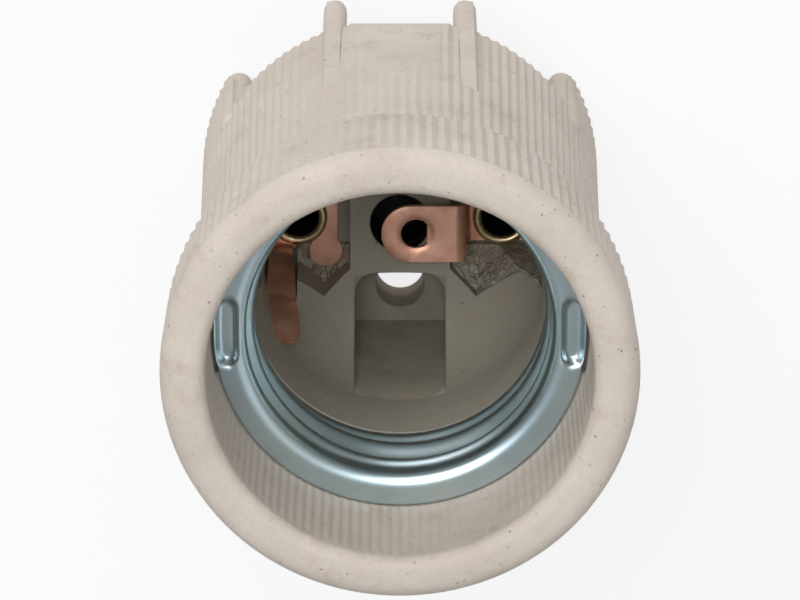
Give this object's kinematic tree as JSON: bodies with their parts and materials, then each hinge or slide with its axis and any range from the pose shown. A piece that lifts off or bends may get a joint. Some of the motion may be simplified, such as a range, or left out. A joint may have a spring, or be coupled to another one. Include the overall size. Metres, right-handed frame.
{
  "type": "lamp holder",
  "caption": "Porcelain lamp holder with a fluted round body, a metal screw shell, a centre contact tongue, a side contact leaf and screw terminals at the rear.",
  "frame": {"origin": "on the lamp's axis, at the level of the side walls' feet", "axes": "+Z out of the mouth, +X towards the side contact, Y through the two fixing holes"},
  "size_m": [0.0386, 0.0386, 0.0537],
  "materials": {
    "porcelain": "unglazed, matt, warm grey with dark specks",
    "zinc_steel": "blue zinc plate, smooth",
    "copper": "bare copper strip",
    "brass": "bare brass",
    "cement": "rough, crumbly",
    "bright_steel": "zinc plate"
  },
  "bodies": {
    "holder": {"ceramic_body": "porcelain", "screw_shell": "zinc_steel", "centre_contact": "copper", "side_contact": "copper", "centre_eyelet": "brass", "side_eyelet": "brass", "centre_sealing_cement": "cement", "side_sealing_cement": "cement", "centre_terminal_plate": "brass", "side_terminal_plate": "brass"},
    "centre_washer": {"centre_clamp_washer": "bright_steel"},
    "centre_screw": {"centre_terminal_screw": "bright_steel"},
    "side_washer": {"side_clamp_washer": "bright_steel"},
    "side_screw": {"side_terminal_screw": "bright_steel"}
  },
  "joints": [
    {"name": "centre_clamp_slide", "type": "slide", "parent": "holder", "child": "centre_washer", "axis": [0, 0, -1], "range_m": [0, 0.0018]},
    {"name": "centre_screw_turn", "type": "hinge", "parent": "centre_washer", "child": "centre_screw", "pos_m": [-0.0091, 0.0062, 0.0055], "axis": [0, 0, -1], "range_deg": [0, 1080]},
    {"name": "side_clamp_slide", "type": "slide", "parent": "holder", "child": "side_washer", "axis": [0, 0, -1], "range_m": [0, 0.0018]},
    {"name": "side_screw_turn", "type": "hinge", "parent": "side_washer", "child": "side_screw", "pos_m": [0.0091, -0.0062, 0.0055], "axis": [0, 0, -1], "range_deg": [0, 1080]}
  ],
  "couplings": [
    {"joint": "centre_screw_turn", "follows": "centre_clamp_slide", "rad_per_m": 10472},
    {"joint": "side_screw_turn", "follows": "side_clamp_slide", "rad_per_m": 10472}
  ]
}
